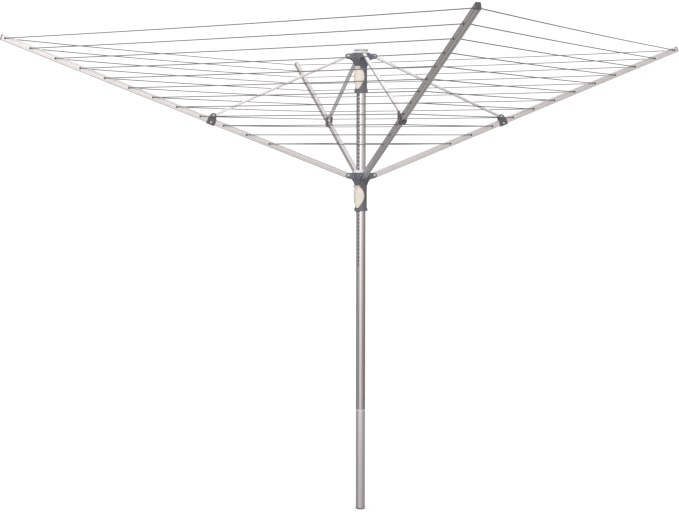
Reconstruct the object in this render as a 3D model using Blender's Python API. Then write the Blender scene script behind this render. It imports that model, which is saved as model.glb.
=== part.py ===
"""Rotary clothesline, open, with its mast foot at the origin and +Z up.

Four arms hinge on a lower hub and are held up by four struts from an upper hub. Both hubs slide on
a two-piece mast, whose upper tube turns on a spindle fixed in the lower one. Arms lie along +X, +Y,
-X and -Y. Arm and strut links are equal and their pivots lie at one radius, so the bracket pivots
stay halfway between the hubs as the canopy folds.
"""

import math

import bmesh
import bpy
from mathutils import Matrix, Vector

MM = 0.001
GAP = 0.3 * MM  # between faces that touch on the real object

# Canopy
ARM_AZIMUTHS = (0, 90, 180, 270)  # degrees
ARM_ELEVATION = math.radians(21.6)
LINE_HOLE_COUNT = 12
OUTER_HOLE_RADIUS = 1.164
HOLE_RADIAL_PITCH = 76.88 * MM
PIVOT_RADIUS = 46 * MM  # clevis pins from the mast axis, on both hubs
LOWER_PIVOT_Z = 1.175
HUB_SPACING = 0.404  # between the two hubs' pivots
UPPER_PIVOT_Z = LOWER_PIVOT_Z + HUB_SPACING
STRUT_REACH = 0.459  # horizontal, from pivot to pivot

# Mast
MAST_RADIUS = 15.875 * MM
MAST_WALL = 1.4 * MM
MAST_TOP = 1.598
JOINT_Z = 0.355
JOINT_RING_HEIGHT = 3.4 * MM
FOOT_PLUG_FLANGE = 3 * MM
FOOT_PLUG_DEPTH = 25 * MM
SPINDLE_RADIUS = 12.1 * MM
SPINDLE_BORE = 10.7 * MM
SPINDLE_BELOW = 0.13
SPINDLE_ABOVE = 0.15
SLEEVE_LENGTH = 0.10
MAST_SEGMENTS = 24

# Rack down the groove of the upper tube
RACK_AZIMUTH = 225  # degrees, also where both levers sit
GROOVE_HALF_WIDTH = 3.6 * MM
GROOVE_FLOOR = 14.9 * MM  # from the mast axis
GROOVE_WALL = 1.2 * MM
RACK_PITCH = 13.2 * MM
RACK_HOLE_WIDTH = 4.6 * MM
RACK_HOLE_HEIGHT = 7.2 * MM
RACK_BOTTOM = 0.867
RACK_HOLE_COUNT = 51

# Hub, heights measured from its pivots
HUB_BORE = 16.6 * MM
HUB_BODY_RADIUS = 20.5 * MM
HUB_DRUM_RADIUS = 28.5 * MM
HUB_PLATE_RADIUS = 31 * MM
HUB_COLLAR_RADIUS = 23 * MM
HUB_BOTTOM = -122 * MM
HUB_COLLAR_TOP = -113 * MM
HUB_NECK = -38 * MM
HUB_DRUM_BOTTOM = -12 * MM
HUB_DRUM_TOP = 9 * MM
HUB_PLATE_TOP = 12 * MM
HUB_CONE_RADIUS = 27 * MM
HUB_CONE_TOP_RADIUS = 21.5 * MM
HUB_TOP = 18.7 * MM
HUB_SEGMENTS = 24
EAR_INSIDE = 7.8 * MM
EAR_THICKNESS = 3.2 * MM
EAR_ROUND = 8.5 * MM
KEY_HALF_WIDTH = 2.7 * MM
KEY_TIP = 15.3 * MM
PIN_RADIUS = 2.5 * MM
PIN_HOLE_RADIUS = 3.1 * MM
PIN_SEGMENTS = 8

# Lock lever and pawl, heights measured from the hub's pivots
LEVER_PIN_Z = -37.5 * MM
LEVER_PIN_AT = 24.2 * MM  # from the mast axis
LEVER_PIN_RADIUS = 1.5 * MM
LEVER_HOLE_RADIUS = 1.9 * MM
LEVER_KNUCKLE_RADIUS = 3.2 * MM
LEVER_KNUCKLE_HALF = 11 * MM
LEVER_WEB_OUTSIDE = 23.4 * MM  # where the knuckle runs into the shell
LUG_INSIDE = 11.4 * MM
LUG_OUTSIDE = 13.8 * MM
LUG_ROOT = 13 * MM
LUG_ROUND = 3.4 * MM
LEVER_TOP = -41.5 * MM
LEVER_BOTTOM = -112 * MM
LEVER_INNER_RADIUS = 21.0 * MM
LEVER_EDGE_THICKNESS = 2.0 * MM
LEVER_CROWN = 3.6 * MM
# Half angle about the mast in degrees, at shares of the lever's height from its top
LEVER_OUTLINE = (
    (0.0, 33),
    (0.07, 42),
    (0.18, 52),
    (0.34, 60),
    (0.52, 58),
    (0.68, 46),
    (0.84, 29),
    (0.95, 15),
    (1.0, 6),
)
PAWL_Z = -60 * MM
PAWL_HALF = 3 * MM
PAWL_BACK = 20.4 * MM
PAWL_WINDOW_GAP = 0.5 * MM

# Arm section and its fittings, in the arm's own frame: x outwards, z up
ARM_WIDTH = 15 * MM
ARM_HEIGHT = 20 * MM
ARM_WALL = 1.3 * MM
ARM_INNER_END = -12 * MM
ARM_PAST_HOLE = 10.5 * MM
CAP_LENGTH = 3 * MM
CAP_ROUND = 2 * MM
CAP_SPIGOT = 6 * MM
LINE_HOLE_RADIUS = 2.7 * MM
LINE_HOLE_SIDES = 6
BRACKET_LENGTH = 28 * MM
BRACKET_CHEEK = 3 * MM
BRACKET_EYE_RADIUS = 8.5 * MM
BRACKET_SHOULDER = 6 * MM
RIVET_RADIUS = 2.0 * MM
RIVET_HOLE_RADIUS = 2.6 * MM
RIVET_Z = -5.5 * MM
STRUT_WIDTH = 12 * MM
STRUT_THICKNESS = 8.5 * MM
STRUT_EYE_RADIUS = 6.5 * MM
PIN_HEAD_RADIUS = 4 * MM
PIN_HEAD_HEIGHT = 1.2 * MM

# Drying line
LINE_RADIUS = 1.5 * MM
LINE_RUN_OFFSET = 1.9 * MM  # of the runs inside arm_1, to pass each other

ARM_COS = math.cos(ARM_ELEVATION)
ARM_SIN = math.sin(ARM_ELEVATION)
STRUT_DROP = HUB_SPACING / 2
STRUT_LENGTH = math.hypot(STRUT_REACH, STRUT_DROP)
STRUT_ANGLE = math.atan2(STRUT_DROP, STRUT_REACH)
BRACKET_PIVOT_X = STRUT_REACH * ARM_COS + STRUT_DROP * ARM_SIN
BRACKET_PIVOT_Z = STRUT_DROP * ARM_COS - STRUT_REACH * ARM_SIN

MATERIALS = {
    "aluminium_tube": ((0.62, 0.60, 0.60), 0.35, 1.0),
    "arm_aluminium": ((0.60, 0.58, 0.57), 0.35, 1.0),
    "hub_plastic": ((0.16, 0.155, 0.19), 0.5, 0.0),
    "lever_plastic": ((0.86, 0.80, 0.70), 0.35, 0.0),
    "cap_plastic": ((0.62, 0.61, 0.63), 0.5, 0.0),
    "bracket_plastic": ((0.27, 0.26, 0.29), 0.5, 0.0),
    "end_cap_plastic": ((0.10, 0.10, 0.11), 0.55, 0.0),
    "bush_plastic": ((0.78, 0.78, 0.77), 0.5, 0.0),
    "pin_steel": ((0.55, 0.55, 0.56), 0.3, 1.0),
    "line_cord": ((0.21, 0.21, 0.22), 0.6, 0.0),
}


def clear_scene():
    for obj in list(bpy.data.objects):
        bpy.data.objects.remove(obj, do_unlink=True)


def add_material(obj, slot):
    """Each node has a material of its own, with its slot's colour, roughness and metallic value."""
    colour, roughness, metallic = MATERIALS[slot]
    material = bpy.data.materials.new(obj.name)
    material.use_nodes = True
    shader = material.node_tree.nodes["Principled BSDF"]
    shader.inputs["Base Color"].default_value = (*colour, 1)
    shader.inputs["Roughness"].default_value = roughness
    shader.inputs["Metallic"].default_value = metallic
    obj.data.materials.clear()
    obj.data.materials.append(material)


def add_object(name, mesh, slot, parent=None, place=None):
    """A node. Nodes of one kind share a mesh's shape, each in its own copy."""
    obj = bpy.data.objects.new(name, mesh)
    bpy.context.collection.objects.link(obj)
    obj.parent = parent
    obj.matrix_local = place or Matrix.Identity(4)
    add_material(obj, slot)
    return obj


def add_empty(name, matrix, parent=None):
    empty = bpy.data.objects.new(name, None)
    empty.empty_display_size = 0.05
    bpy.context.collection.objects.link(empty)
    empty.parent = parent
    empty.matrix_local = matrix
    return empty


def to_mesh(name, bm):
    bmesh.ops.recalc_face_normals(bm, faces=bm.faces)
    mesh = bpy.data.meshes.new(name)
    bm.to_mesh(mesh)
    bm.free()
    mesh.shade_smooth()
    mesh.set_sharp_from_angle(angle=math.radians(35))
    return mesh


def prism(outline, low, high, matrix=None):
    """An outline in x and z, extruded along y from low to high."""
    bm = bmesh.new()
    near = [bm.verts.new((x, low, z)) for x, z in outline]
    far = [bm.verts.new((x, high, z)) for x, z in outline]
    bm.faces.new(near)
    bm.faces.new(far)
    for i in range(len(outline)):
        j = (i + 1) % len(outline)
        bm.faces.new((near[i], near[j], far[j], far[i]))
    if matrix:
        bmesh.ops.transform(bm, matrix=matrix, verts=bm.verts)
    return to_mesh("prism", bm)


def upright_prism(outline, low, high):
    """An outline in x and y, extruded along z from low to high."""
    turn = Matrix(((1, 0, 0, 0), (0, 0, 1, 0), (0, 1, 0, 0), (0, 0, 0, 1)))
    return prism(outline, low, high, turn)


def box(low, high, matrix=None):
    outline = ((low[0], low[2]), (high[0], low[2]), (high[0], high[2]), (low[0], high[2]))
    return prism(outline, low[1], high[1], matrix)


def turned(profile, segments, matrix=None):
    """A closed outline of radius and height, turned about z. Points on the axis make a pole."""
    bm = bmesh.new()
    rings = []
    for radius, height in profile:
        if radius == 0:
            rings.append([bm.verts.new((0, 0, height))] * segments)
            continue
        turn = 2 * math.pi / segments
        angles = [turn * (i + 0.5) for i in range(segments)]
        rings.append([bm.verts.new((radius * math.cos(a), radius * math.sin(a), height)) for a in angles])
    for first, second in zip(rings, rings[1:] + rings[:1]):
        for i in range(segments):
            j = (i + 1) % segments
            corners = [first[i], first[j], second[j], second[i]]
            corners = [v for n, v in enumerate(corners) if v not in corners[:n]]
            if len(corners) > 2:
                bm.faces.new(corners)
    if matrix:
        bmesh.ops.transform(bm, matrix=matrix, verts=bm.verts)
    return to_mesh("turned", bm)


def rod(radius, low, high, segments, matrix=None):
    return turned(((0, low), (radius, low), (radius, high), (0, high)), segments, matrix)


def cross_rod(radius, half_length, x, z, segments):
    """A rod along y, through (x, z)."""
    place = Matrix.Translation((x, 0, z)) @ Matrix.Rotation(math.pi / 2, 4, "X")
    return rod(radius, -half_length, half_length, segments, place)


def arc(centre, radius, start, end, steps):
    """Points from one angle to another, in degrees."""
    angles = [math.radians(start + (end - start) * i / steps) for i in range(steps + 1)]
    return [(centre[0] + radius * math.cos(a), centre[1] + radius * math.sin(a)) for a in angles]


def combine(meshes, operation):
    """Unites the meshes, or cuts the others from the first one, with exact Booleans."""
    objects = [bpy.data.objects.new("operand", mesh) for mesh in meshes]
    for obj in objects:
        bpy.context.collection.objects.link(obj)
    for other in objects[1:]:
        step = objects[0].modifiers.new("step", "BOOLEAN")
        step.operation = operation
        step.solver = "EXACT"
        step.object = other
    bpy.context.view_layer.update()
    evaluated = objects[0].evaluated_get(bpy.context.evaluated_depsgraph_get())
    result = bpy.data.meshes.new_from_object(evaluated)
    for obj in objects:
        bpy.data.objects.remove(obj, do_unlink=True)
    result.materials.clear()
    result.shade_smooth()
    result.set_sharp_from_angle(angle=math.radians(35))
    return result


def joined(meshes):
    """Separate solids in one mesh, for cutting many holes at once."""
    bm = bmesh.new()
    for mesh in meshes:
        bm.from_mesh(mesh)
    result = bpy.data.meshes.new("joined")
    bm.to_mesh(result)
    bm.free()
    return result


def turned_about_mast(degrees):
    return Matrix.Rotation(math.radians(degrees), 4, "Z")


# Mast


def tube_outlines():
    """The upper tube's outside, with the groove on +X, and its inside, with a flat behind it."""
    step = 2 * math.pi / MAST_SEGMENTS
    inner_radius = MAST_RADIUS - MAST_WALL
    groove_edge = math.asin(GROOVE_HALF_WIDTH / MAST_RADIUS)
    flat = GROOVE_FLOOR - GROOVE_WALL
    flat_edge = math.acos(flat / inner_radius)
    angles = [step * i for i in range(MAST_SEGMENTS)]

    def round_part(radius, edge):
        kept = [a for a in angles if edge + step / 3 < a < 2 * math.pi - edge - step / 3]
        kept = [edge] + kept + [2 * math.pi - edge]
        return [(radius * math.cos(a), radius * math.sin(a)) for a in kept]

    outside = round_part(MAST_RADIUS, groove_edge)
    outside += [(GROOVE_FLOOR, -GROOVE_HALF_WIDTH), (GROOVE_FLOOR, GROOVE_HALF_WIDTH)]
    return outside, round_part(inner_radius, flat_edge)


def upper_mast_mesh():
    outside, inside = tube_outlines()
    bottom = JOINT_Z + JOINT_RING_HEIGHT / 2 + GAP
    tube = upright_prism(outside, bottom, MAST_TOP)
    hollow = upright_prism(inside, bottom - 1 * MM, MAST_TOP + 1 * MM)
    holes = []
    for i in range(RACK_HOLE_COUNT):
        middle = RACK_BOTTOM + i * RACK_PITCH
        low = (GROOVE_FLOOR - 3 * MM, -RACK_HOLE_WIDTH / 2, middle - RACK_HOLE_HEIGHT / 2)
        high = (GROOVE_FLOOR + 2 * MM, RACK_HOLE_WIDTH / 2, middle + RACK_HOLE_HEIGHT / 2)
        holes.append(box(low, high))
    return combine([tube, hollow, joined(holes)], "DIFFERENCE")


def sleeve_mesh():
    """Fills the upper tube around the spindle, with a flat where the groove comes in."""
    _, inside = tube_outlines()
    scale = 1 - GAP / (GROOVE_FLOOR - GROOVE_WALL)
    bottom = JOINT_Z + JOINT_RING_HEIGHT / 2 + GAP
    body = upright_prism([(x * scale, y * scale) for x, y in inside], bottom, bottom + SLEEVE_LENGTH)
    bore = rod(SPINDLE_RADIUS + GAP, bottom - 1 * MM, bottom + SLEEVE_LENGTH + 1 * MM, MAST_SEGMENTS)
    return combine([body, bore], "DIFFERENCE")


def build_mast():
    inner = MAST_RADIUS - MAST_WALL
    ring_low = JOINT_Z - JOINT_RING_HEIGHT / 2
    ring_high = JOINT_Z + JOINT_RING_HEIGHT / 2
    tube_bottom = FOOT_PLUG_FLANGE + GAP
    lower_top = ring_low - GAP
    lower_profile = (
        (MAST_RADIUS, lower_top),
        (MAST_RADIUS, tube_bottom),
        (inner, tube_bottom),
        (inner, lower_top),
    )
    add_object("lower_mast", turned(lower_profile, MAST_SEGMENTS), "aluminium_tube")

    plug_radius = inner - GAP
    plug = turned(
        (
            (0, 0),
            (MAST_RADIUS - 0.8 * MM, 0),
            (MAST_RADIUS, 0.8 * MM),
            (MAST_RADIUS, FOOT_PLUG_FLANGE),
            (plug_radius, FOOT_PLUG_FLANGE),
            (plug_radius, FOOT_PLUG_DEPTH),
            (plug_radius - 2 * MM, FOOT_PLUG_DEPTH),
            (plug_radius - 2 * MM, FOOT_PLUG_FLANGE + 2 * MM),
            (0, FOOT_PLUG_FLANGE + 2 * MM),
        ),
        MAST_SEGMENTS,
    )
    add_object("mast_foot_plug", plug, "end_cap_plastic")

    spindle_low = JOINT_Z - SPINDLE_BELOW
    spindle_high = JOINT_Z + SPINDLE_ABOVE
    spindle = turned(
        (
            (SPINDLE_RADIUS, spindle_low),
            (SPINDLE_RADIUS, spindle_high),
            (SPINDLE_BORE, spindle_high),
            (SPINDLE_BORE, spindle_low),
        ),
        MAST_SEGMENTS,
    )
    add_object("mast_spindle", spindle, "pin_steel")

    bush_bore = SPINDLE_RADIUS + GAP
    bush_low = JOINT_Z - SPINDLE_BELOW + 20 * MM
    bush = turned(
        (
            (bush_bore, bush_low),
            (plug_radius, bush_low),
            (plug_radius, ring_low),
            (MAST_RADIUS + 0.4 * MM, ring_low),
            (MAST_RADIUS + 0.4 * MM, ring_high),
            (bush_bore, ring_high),
        ),
        MAST_SEGMENTS,
    )
    add_object("mast_joint_bush", bush, "bush_plastic")

    turning = add_empty("upper_mast_axis", turned_about_mast(RACK_AZIMUTH))
    add_object("upper_mast", upper_mast_mesh(), "aluminium_tube", turning)
    add_object("spindle_sleeve", sleeve_mesh(), "bush_plastic", turning)

    cap_radius = 24.5 * MM
    cap_bottom = MAST_TOP + GAP
    spigot_radius = GROOVE_FLOOR - GROOVE_WALL - GAP
    spigot_bottom = MAST_TOP - 18 * MM
    cap = turned(
        (
            (0, cap_bottom + 6 * MM),
            (cap_radius - 6 * MM, cap_bottom + 5.7 * MM),
            (cap_radius - 1.2 * MM, cap_bottom + 4.4 * MM),
            (cap_radius, cap_bottom + 2.8 * MM),
            (cap_radius, cap_bottom),
            (spigot_radius, cap_bottom),
            (spigot_radius, spigot_bottom),
            (spigot_radius - 2 * MM, spigot_bottom),
            (spigot_radius - 2 * MM, cap_bottom),
            (0, cap_bottom),
        ),
        MAST_SEGMENTS,
    )
    add_object("mast_top_cap", cap, "cap_plastic", turning)
    return turning


# Hubs


def ear_plate(side):
    """One plate with an ear on either side of the mast. A pair of plates makes two clevises."""
    half = arc((PIVOT_RADIUS, 0), EAR_ROUND, 90, -80, 5)
    gusset = [(37 * MM, -10.5 * MM), (29 * MM, -15.5 * MM), (24 * MM, -23 * MM), (20 * MM, -34 * MM)]
    right = [(30 * MM, HUB_DRUM_TOP + 1 * MM)] + half + gusset
    outline = right + [(-x, z) for x, z in reversed(right)]
    low = EAR_INSIDE if side > 0 else -EAR_INSIDE - EAR_THICKNESS
    return prism(outline, low, low + EAR_THICKNESS)


def hub_mesh():
    body = turned(
        (
            (0, HUB_BOTTOM),
            (HUB_COLLAR_RADIUS - 1 * MM, HUB_BOTTOM),
            (HUB_COLLAR_RADIUS, HUB_BOTTOM + 1 * MM),
            (HUB_COLLAR_RADIUS, HUB_COLLAR_TOP - 1 * MM),
            (HUB_BODY_RADIUS, HUB_COLLAR_TOP + 1 * MM),
            (HUB_BODY_RADIUS, HUB_NECK),
            (HUB_BODY_RADIUS + 1 * MM, HUB_NECK + 9 * MM),
            (HUB_BODY_RADIUS + 4 * MM, HUB_NECK + 19 * MM),
            (HUB_DRUM_RADIUS, HUB_DRUM_BOTTOM),
            (HUB_DRUM_RADIUS, HUB_DRUM_TOP),
            (HUB_PLATE_RADIUS, HUB_DRUM_TOP),
            (HUB_PLATE_RADIUS, HUB_PLATE_TOP - 1 * MM),
            (HUB_PLATE_RADIUS - 1 * MM, HUB_PLATE_TOP),
            (HUB_CONE_RADIUS, HUB_PLATE_TOP),
            (HUB_CONE_TOP_RADIUS, HUB_TOP - 0.6 * MM),
            (HUB_CONE_TOP_RADIUS - 1 * MM, HUB_TOP),
            (0, HUB_TOP),
        ),
        HUB_SEGMENTS,
    )
    parts = [body]
    for azimuth in (0, 90):
        for side in (-1, 1):
            plate = ear_plate(side)
            plate.transform(turned_about_mast(azimuth))
            parts.append(plate)
    facing = turned_about_mast(RACK_AZIMUTH)
    lug = arc((LEVER_PIN_AT, LEVER_PIN_Z), LUG_ROUND, -90, 90, 6)
    lug += [(LUG_ROOT, LEVER_PIN_Z + 6 * MM), (LUG_ROOT, LEVER_PIN_Z - LUG_ROUND)]
    parts.append(prism(lug, LUG_INSIDE, LUG_OUTSIDE, facing))
    parts.append(prism(lug, -LUG_OUTSIDE, -LUG_INSIDE, facing))
    tab_low = (17 * MM, -6 * MM, HUB_BOTTOM - 4 * MM)
    tab_high = (26.5 * MM, 6 * MM, HUB_COLLAR_TOP - 1.5 * MM)
    parts.append(box(tab_low, tab_high, facing))
    solid = combine(parts, "UNION")

    bore_step = 2 * math.pi / HUB_SEGMENTS
    key_edge = math.asin(KEY_HALF_WIDTH / HUB_BORE)
    angles = [bore_step * i for i in range(HUB_SEGMENTS)]
    angles = [a for a in angles if key_edge + bore_step / 3 < a < 2 * math.pi - key_edge - bore_step / 3]
    angles = [key_edge] + angles + [2 * math.pi - key_edge]
    bore = [(HUB_BORE * math.cos(a), HUB_BORE * math.sin(a)) for a in angles]
    bore += [(KEY_TIP, -KEY_HALF_WIDTH), (KEY_TIP, KEY_HALF_WIDTH)]
    bore_cut = upright_prism(bore, HUB_BOTTOM - 8 * MM, HUB_TOP + 2 * MM)
    bore_cut.transform(facing)
    room = PAWL_HALF + PAWL_WINDOW_GAP
    window = box((12 * MM, -room, PAWL_Z - room), (24 * MM, room, PAWL_Z + room), facing)
    hinge_reach = LUG_OUTSIDE + 2 * MM
    pin_holes = [cross_rod(LEVER_HOLE_RADIUS, hinge_reach, LEVER_PIN_AT, LEVER_PIN_Z, PIN_SEGMENTS)]
    pin_holes[0].transform(facing)
    for azimuth in ARM_AZIMUTHS:
        hole = cross_rod(PIN_HOLE_RADIUS, 14 * MM, PIVOT_RADIUS, 0, PIN_SEGMENTS)
        hole.transform(turned_about_mast(azimuth))
        pin_holes.append(hole)
    return combine([solid, bore_cut, window, joined(pin_holes)], "DIFFERENCE")


def outline_angle(share):
    """The lever's half angle in radians, with straight stretches between its outline's points."""
    for (low, first), (high, second) in zip(LEVER_OUTLINE, LEVER_OUTLINE[1:]):
        if share <= high:
            return math.radians(first + (second - first) * (share - low) / (high - low))
    return math.radians(LEVER_OUTLINE[-1][1])


def lever_mesh():
    """A crowned shell on the hub's round side, with one wide knuckle for its pin at the top."""
    shares = [share for share, _ in LEVER_OUTLINE]
    columns = 8
    bm = bmesh.new()
    inner_rows, outer_rows = [], []
    for share in shares:
        half = outline_angle(share)
        height = LEVER_TOP + (LEVER_BOTTOM - LEVER_TOP) * share
        swell = math.sin(math.pi * (0.12 + 0.80 * share)) ** 0.6
        inner, outer = [], []
        for column in range(columns + 1):
            across = 2 * column / columns - 1
            angle = half * across
            thickness = LEVER_EDGE_THICKNESS + LEVER_CROWN * (1 - across**2) * swell
            for row, radius in ((inner, LEVER_INNER_RADIUS), (outer, LEVER_INNER_RADIUS + thickness)):
                row.append(bm.verts.new((radius * math.cos(angle), radius * math.sin(angle), height)))
        inner_rows.append(inner)
        outer_rows.append(outer)
    for i in range(len(shares) - 1):
        for rows in (outer_rows, inner_rows):
            for j in range(columns):
                bm.faces.new((rows[i][j], rows[i + 1][j], rows[i + 1][j + 1], rows[i][j + 1]))
        for j in (0, columns):
            bm.faces.new((inner_rows[i][j], inner_rows[i + 1][j], outer_rows[i + 1][j], outer_rows[i][j]))
    for i in (0, len(shares) - 1):
        for j in range(columns):
            bm.faces.new((inner_rows[i][j], inner_rows[i][j + 1], outer_rows[i][j + 1], outer_rows[i][j]))
    shell = to_mesh("shell", bm)
    knuckle = arc((LEVER_PIN_AT, LEVER_PIN_Z), LEVER_KNUCKLE_RADIUS, 0, 180, 8)
    knuckle += [(LEVER_INNER_RADIUS, LEVER_TOP - 4 * MM), (LEVER_WEB_OUTSIDE, LEVER_TOP - 4 * MM)]
    knuckle += [(LEVER_WEB_OUTSIDE, LEVER_TOP)]
    solid = combine([shell, prism(knuckle, -LEVER_KNUCKLE_HALF, LEVER_KNUCKLE_HALF)], "UNION")
    hole = cross_rod(LEVER_HOLE_RADIUS, 15 * MM, LEVER_PIN_AT, LEVER_PIN_Z, PIN_SEGMENTS)
    lever = combine([solid, hole], "DIFFERENCE")
    lever.transform(Matrix.Translation((-LEVER_PIN_AT, 0, -LEVER_PIN_Z)))
    return lever


def pin_mesh(half_grip, radius=PIN_RADIUS, head_radius=PIN_HEAD_RADIUS):
    """A headed pin along y, whose heads start half_grip from its middle."""
    end = half_grip + PIN_HEAD_HEIGHT
    profile = (
        (0, -end),
        (head_radius, -end),
        (head_radius, -half_grip),
        (radius, -half_grip),
        (radius, half_grip),
        (head_radius, half_grip),
        (head_radius, end),
        (0, end),
    )
    return turned(profile, PIN_SEGMENTS, Matrix.Rotation(math.pi / 2, 4, "X"))


def build_hub(name, pivot_z, parent, pin_name):
    """A hub with its clevis pins, lever, lever pin and pawl."""
    turn_back = turned_about_mast(-RACK_AZIMUTH)
    axis = add_empty(name + "_place", turn_back @ Matrix.Translation((0, 0, pivot_z)), parent)
    add_object(name + "_hub", hub_mesh(), "hub_plastic", axis)
    for number, azimuth in enumerate(ARM_AZIMUTHS, 1):
        place = turned_about_mast(azimuth) @ Matrix.Translation((PIVOT_RADIUS, 0, 0))
        pin = pin_mesh(EAR_INSIDE + EAR_THICKNESS + GAP)
        add_object(f"{pin_name}_{number}", pin, "pin_steel", axis, place)
    facing = turned_about_mast(RACK_AZIMUTH)
    hinge_place = facing @ Matrix.Translation((LEVER_PIN_AT, 0, LEVER_PIN_Z))
    hinge = add_empty(name + "_lever_axis", hinge_place, axis)
    add_object(name + "_lever", lever_mesh(), "lever_plastic", hinge)
    lever_pin = pin_mesh(LUG_OUTSIDE + GAP, LEVER_PIN_RADIUS, 2.4 * MM)
    add_object(name + "_lever_pin", lever_pin, "pin_steel", hinge)
    low = (KEY_TIP, -PAWL_HALF, PAWL_Z - PAWL_HALF)
    pawl = box(low, (PAWL_BACK, PAWL_HALF, PAWL_Z + PAWL_HALF))
    add_object(name + "_lock_pawl", pawl, "pin_steel", axis, facing)


# Arms, struts and their fittings


def hole_place(number):
    """Distance along the arm from its pivot to a line hole, with hole 0 the outermost."""
    radius = OUTER_HOLE_RADIUS - number * HOLE_RADIAL_PITCH
    return (radius - PIVOT_RADIUS) / ARM_COS


def arm_mesh():
    end = hole_place(0) + ARM_PAST_HOLE
    side, top = ARM_WIDTH / 2, ARM_HEIGHT / 2
    solid = box((ARM_INNER_END, -side, -top), (end, side, top))
    inside, under = side - ARM_WALL, top - ARM_WALL
    hollow = box((ARM_INNER_END - 1 * MM, -inside, -under), (end + 1 * MM, inside, under))
    places = [hole_place(number) for number in range(LINE_HOLE_COUNT)]
    holes = [cross_rod(LINE_HOLE_RADIUS, ARM_WIDTH, place, 0, LINE_HOLE_SIDES) for place in places]
    holes.append(cross_rod(PIN_HOLE_RADIUS, ARM_WIDTH, 0, 0, PIN_SEGMENTS))
    holes.append(cross_rod(RIVET_HOLE_RADIUS, ARM_WIDTH, BRACKET_PIVOT_X, RIVET_Z, PIN_SEGMENTS))
    return combine([solid, hollow, joined(holes)], "DIFFERENCE")


def end_cap_mesh():
    """A thin flange with rounded edges, and a spigot in the arm's end."""
    start = hole_place(0) + ARM_PAST_HOLE + GAP
    side, top = ARM_WIDTH / 2 + 0.3 * MM, ARM_HEIGHT / 2 + 0.3 * MM
    round_x = start + CAP_LENGTH - CAP_ROUND
    head = [(start, -top)] + arc((round_x, -top + CAP_ROUND), CAP_ROUND, -90, 0, 3)
    head += arc((round_x, top - CAP_ROUND), CAP_ROUND, 0, 90, 3) + [(start, top)]
    inside, under = ARM_WIDTH / 2 - ARM_WALL - GAP, ARM_HEIGHT / 2 - ARM_WALL - GAP
    spigot = box((start - CAP_SPIGOT, -inside, -under), (start + 2 * MM, inside, under))
    return combine([prism(head, -side, side), spigot], "UNION")


def bracket_mesh():
    """Two cheeks joined under the arm, with an eye above the arm for the strut's pin."""
    x, eye_z = BRACKET_PIVOT_X, BRACKET_PIVOT_Z
    half = BRACKET_LENGTH / 2
    under = -ARM_HEIGHT / 2 - GAP
    bottom = under - BRACKET_CHEEK
    inside = ARM_WIDTH / 2 + GAP
    outline = [(x - half, bottom + 2 * MM), (x - half + 2 * MM, bottom), (x + half - 2 * MM, bottom)]
    outline += [(x + half, bottom + 2 * MM), (x + half, BRACKET_SHOULDER)]
    outline += arc((x, eye_z), BRACKET_EYE_RADIUS, 5, 175, 8)
    outline += [(x - half, BRACKET_SHOULDER)]
    solid = prism(outline, -inside - BRACKET_CHEEK, inside + BRACKET_CHEEK)
    slot = box((x - half - 5 * MM, -inside, under), (x + half + 5 * MM, inside, eye_z + 20 * MM))
    holes = [
        cross_rod(PIN_HOLE_RADIUS, ARM_WIDTH, x, eye_z, PIN_SEGMENTS),
        cross_rod(RIVET_HOLE_RADIUS, ARM_WIDTH, x, RIVET_Z, PIN_SEGMENTS),
    ]
    return combine([solid, slot, joined(holes)], "DIFFERENCE")


def strut_mesh():
    """A flat bar with an eye at each end, from its upper pin outwards along x."""
    half = STRUT_THICKNESS / 2
    neck = math.degrees(math.asin(half / STRUT_EYE_RADIUS))
    outline = arc((0, 0), STRUT_EYE_RADIUS, neck, 360 - neck, 10)
    outline += arc((STRUT_LENGTH, 0), STRUT_EYE_RADIUS, -180 + neck, 180 - neck, 10)
    bar = prism(outline, -STRUT_WIDTH / 2, STRUT_WIDTH / 2)
    holes = [cross_rod(PIN_HOLE_RADIUS, STRUT_WIDTH, x, 0, PIN_SEGMENTS) for x in (0, STRUT_LENGTH)]
    return combine([bar, joined(holes)], "DIFFERENCE")


def arm_matrix(azimuth):
    """From an arm's own frame to the world."""
    pivot = Matrix.Translation((PIVOT_RADIUS, 0, LOWER_PIVOT_Z))
    return turned_about_mast(azimuth) @ pivot @ Matrix.Rotation(-ARM_ELEVATION, 4, "Y")


def build_arm(number, azimuth):
    axis = add_empty(f"arm_{number}_axis", arm_matrix(azimuth))
    add_object(f"arm_{number}", arm_mesh(), "arm_aluminium", axis)
    add_object(f"end_cap_{number}", end_cap_mesh(), "end_cap_plastic", axis)
    add_object(f"bracket_{number}", bracket_mesh(), "bracket_plastic", axis)
    half_grip = ARM_WIDTH / 2 + GAP + BRACKET_CHEEK + GAP
    rivet_place = Matrix.Translation((BRACKET_PIVOT_X, 0, RIVET_Z))
    rivet = pin_mesh(half_grip, RIVET_RADIUS, 3.4 * MM)
    add_object(f"bracket_rivet_{number}", rivet, "pin_steel", axis, rivet_place)
    eye_place = Matrix.Translation((BRACKET_PIVOT_X, 0, BRACKET_PIVOT_Z))
    add_object(f"strut_foot_pin_{number}", pin_mesh(half_grip), "pin_steel", axis, eye_place)


def build_strut(number, azimuth):
    pivot = Matrix.Translation((PIVOT_RADIUS, 0, UPPER_PIVOT_Z))
    place = turned_about_mast(azimuth) @ pivot @ Matrix.Rotation(STRUT_ANGLE, 4, "Y")
    axis = add_empty(f"strut_{number}_axis", place)
    add_object(f"strut_{number}", strut_mesh(), "arm_aluminium", axis)


# Drying line


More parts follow.
